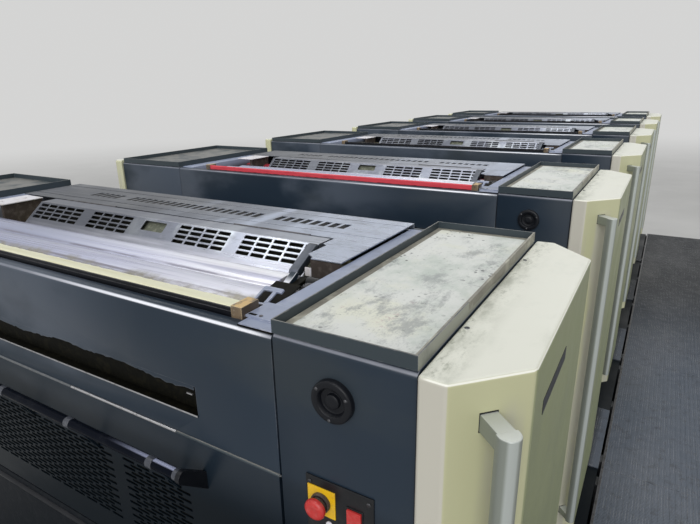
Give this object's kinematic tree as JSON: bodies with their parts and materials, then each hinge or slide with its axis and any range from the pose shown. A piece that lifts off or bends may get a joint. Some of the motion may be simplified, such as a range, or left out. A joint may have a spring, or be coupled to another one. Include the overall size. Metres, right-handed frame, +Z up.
{
  "type": "row of offset printing press units",
  "caption": "Row of sheetfed offset printing units with hinged front guards, lifting slotted ink covers, side trays and a raised operator gallery.",
  "frame": {"origin": "on the floor at the middle of the whole outline", "axes": "+X to the operator side, +Y along the line from the first unit to the last, +Z up"},
  "size_m": [3.09, 8.2, 2],
  "materials": {
    "dark_iron": "dull dark paint",
    "frame_paint": "light blue-grey enamel with oil marks",
    "slate_paint": "dark slate structure paint",
    "tread_plate": "worn ribbed deck plate",
    "cream_paint": "satin cream enamel",
    "bright_metal": "brushed",
    "grey_sheet": "satin metallic grey",
    "slate_rim": "satin slate",
    "pale_mat": "stained off-white lining",
    "black_metal": "satin black",
    "yellow_ink": "wet ink",
    "bronze_block": "dull bronze",
    "bright_sheet": "polished with long streaks",
    "cylinder_steel": "ground steel",
    "roller_rubber": "satin rubber",
    "black_plastic": "satin black",
    "yellow_plastic": "satin yellow",
    "red_plastic": "satin red",
    "handle_metal": "satin anodised",
    "black_gloss": "gloss black"
  },
  "bodies": {
    "row": {"machine_feet": "dark_iron", "base_frames": "frame_paint", "base_cases": "slate_paint", "base_panels": "slate_paint", "gap_decks": "tread_plate", "tower_frames": "frame_paint", "operator_pillars": "slate_paint", "drive_pillars": "slate_paint", "operator_covers": "cream_paint", "drive_covers": "cream_paint", "upper_guards": "slate_paint", "slot_lips": "bright_metal", "back_panels": "slate_paint", "top_covers": "grey_sheet", "operator_trays": "slate_rim", "tray_mats": "pale_mat", "drive_trays": "slate_rim", "ink_ducts": "black_metal", "ink_films": "yellow_ink", "duct_brackets": "bronze_block", "roller_guards": "bright_sheet", "printing_cylinders": "cylinder_steel", "ink_rollers": "roller_rubber", "knobs": "black_plastic", "control_plates": "black_plastic", "stop_plates": "yellow_plastic", "grab_handles": "handle_metal", "gallery_decks": "tread_plate", "gallery_trestles": "frame_paint", "gallery_fascias": "slate_paint", "step_treads": "tread_plate", "step_stringers": "slate_paint"},
    "guard_1": {"lower_guard_1": "slate_paint", "grip_bar_1": "black_gloss"},
    "lid_1": {"ink_cover_1": "grey_sheet"},
    "stop_1": {"stop_button_1": "red_plastic"},
    "guard_2": {"lower_guard_2": "slate_paint", "grip_bar_2": "black_gloss"},
    "lid_2": {"ink_cover_2": "grey_sheet"},
    "stop_2": {"stop_button_2": "red_plastic"},
    "guard_3": {"lower_guard_3": "slate_paint", "grip_bar_3": "black_gloss"},
    "lid_3": {"ink_cover_3": "grey_sheet"},
    "stop_3": {"stop_button_3": "red_plastic"},
    "guard_4": {"lower_guard_4": "slate_paint", "grip_bar_4": "black_gloss"},
    "lid_4": {"ink_cover_4": "grey_sheet"},
    "stop_4": {"stop_button_4": "red_plastic"},
    "guard_5": {"lower_guard_5": "slate_paint", "grip_bar_5": "black_gloss"},
    "lid_5": {"ink_cover_5": "grey_sheet"},
    "stop_5": {"stop_button_5": "red_plastic"},
    "guard_6": {"lower_guard_6": "slate_paint", "grip_bar_6": "black_gloss"},
    "lid_6": {"ink_cover_6": "grey_sheet"},
    "stop_6": {"stop_button_6": "red_plastic"}
  },
  "joints": [
    {"name": "guard_1_hinge", "type": "hinge", "parent": "row", "child": "guard_1", "pos_m": [-0.3415, -3.06, 1.721], "axis": [-1, 0, 0], "range_deg": [0, 80]},
    {"name": "lid_1_hinge", "type": "hinge", "parent": "row", "child": "lid_1", "pos_m": [-0.316, -2.611, 1.985], "axis": [-1, 0, 0], "range_deg": [0, 70]},
    {"name": "stop_1_push", "type": "slide", "parent": "row", "child": "stop_1", "axis": [0, 1, 0], "range_m": [0, 0.005], "stiffness_N_per_m": 500},
    {"name": "guard_2_hinge", "type": "hinge", "parent": "row", "child": "guard_2", "pos_m": [-0.3415, -1.86, 1.721], "axis": [-1, 0, 0], "range_deg": [0, 80]},
    {"name": "lid_2_hinge", "type": "hinge", "parent": "row", "child": "lid_2", "pos_m": [-0.316, -1.411, 1.985], "axis": [-1, 0, 0], "range_deg": [0, 70]},
    {"name": "stop_2_push", "type": "slide", "parent": "row", "child": "stop_2", "axis": [0, 1, 0], "range_m": [0, 0.005], "stiffness_N_per_m": 500},
    {"name": "guard_3_hinge", "type": "hinge", "parent": "row", "child": "guard_3", "pos_m": [-0.3415, -0.66, 1.721], "axis": [-1, 0, 0], "range_deg": [0, 80]},
    {"name": "lid_3_hinge", "type": "hinge", "parent": "row", "child": "lid_3", "pos_m": [-0.316, -0.211, 1.985], "axis": [-1, 0, 0], "range_deg": [0, 70]},
    {"name": "stop_3_push", "type": "slide", "parent": "row", "child": "stop_3", "axis": [0, 1, 0], "range_m": [0, 0.005], "stiffness_N_per_m": 500},
    {"name": "guard_4_hinge", "type": "hinge", "parent": "row", "child": "guard_4", "pos_m": [-0.3415, 0.54, 1.721], "axis": [-1, 0, 0], "range_deg": [0, 80]},
    {"name": "lid_4_hinge", "type": "hinge", "parent": "row", "child": "lid_4", "pos_m": [-0.316, 0.989, 1.985], "axis": [-1, 0, 0], "range_deg": [0, 70]},
    {"name": "stop_4_push", "type": "slide", "parent": "row", "child": "stop_4", "axis": [0, 1, 0], "range_m": [0, 0.005], "stiffness_N_per_m": 500},
    {"name": "guard_5_hinge", "type": "hinge", "parent": "row", "child": "guard_5", "pos_m": [-0.3415, 1.74, 1.721], "axis": [-1, 0, 0], "range_deg": [0, 80]},
    {"name": "lid_5_hinge", "type": "hinge", "parent": "row", "child": "lid_5", "pos_m": [-0.316, 2.189, 1.985], "axis": [-1, 0, 0], "range_deg": [0, 70]},
    {"name": "stop_5_push", "type": "slide", "parent": "row", "child": "stop_5", "axis": [0, 1, 0], "range_m": [0, 0.005], "stiffness_N_per_m": 500},
    {"name": "guard_6_hinge", "type": "hinge", "parent": "row", "child": "guard_6", "pos_m": [-0.3415, 2.94, 1.721], "axis": [-1, 0, 0], "range_deg": [0, 80]},
    {"name": "lid_6_hinge", "type": "hinge", "parent": "row", "child": "lid_6", "pos_m": [-0.316, 3.389, 1.985], "axis": [-1, 0, 0], "range_deg": [0, 70]},
    {"name": "stop_6_push", "type": "slide", "parent": "row", "child": "stop_6", "axis": [0, 1, 0], "range_m": [0, 0.005], "stiffness_N_per_m": 500}
  ]
}
